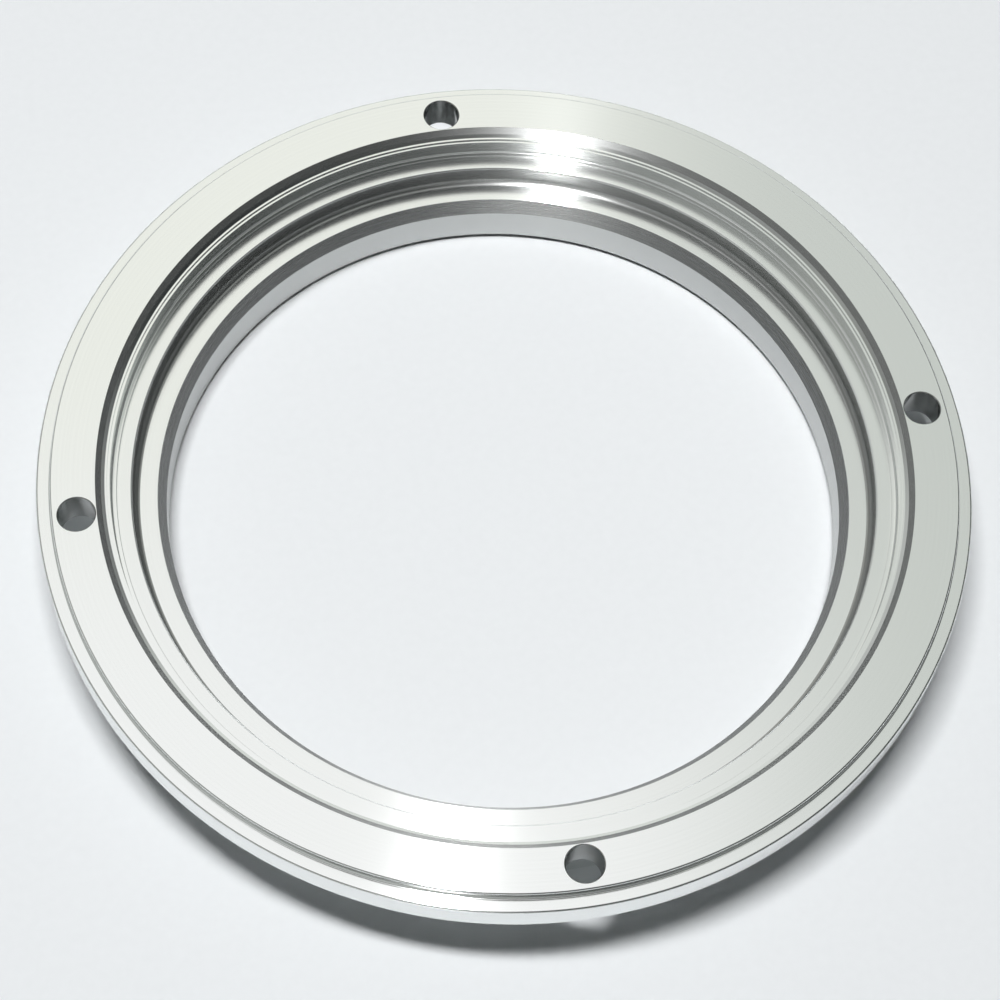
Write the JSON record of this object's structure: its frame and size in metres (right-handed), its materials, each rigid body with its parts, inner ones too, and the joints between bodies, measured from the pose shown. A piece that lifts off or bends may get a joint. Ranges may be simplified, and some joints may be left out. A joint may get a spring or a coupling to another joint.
{
  "type": "optical lens mount",
  "caption": "Bright turned aluminium ring that holds a round lens: stepped pocket with a flat seat and clear bore, bolting flange with through holes, and a short hub below",
  "frame": {"origin": "centre of the ring's axis on the flat foot of the hub", "axes": "+Z along the optical axis, from the foot up to the open mouth of the lens pocket; +X and +Y each through a bolt hole"},
  "size_m": [0.1136, 0.1136, 0.0136],
  "materials": {
    "turned_aluminium": "bright turned"
  },
  "bodies": {
    "root": {"mount_ring": "turned_aluminium"}
  },
  "joints": []
}
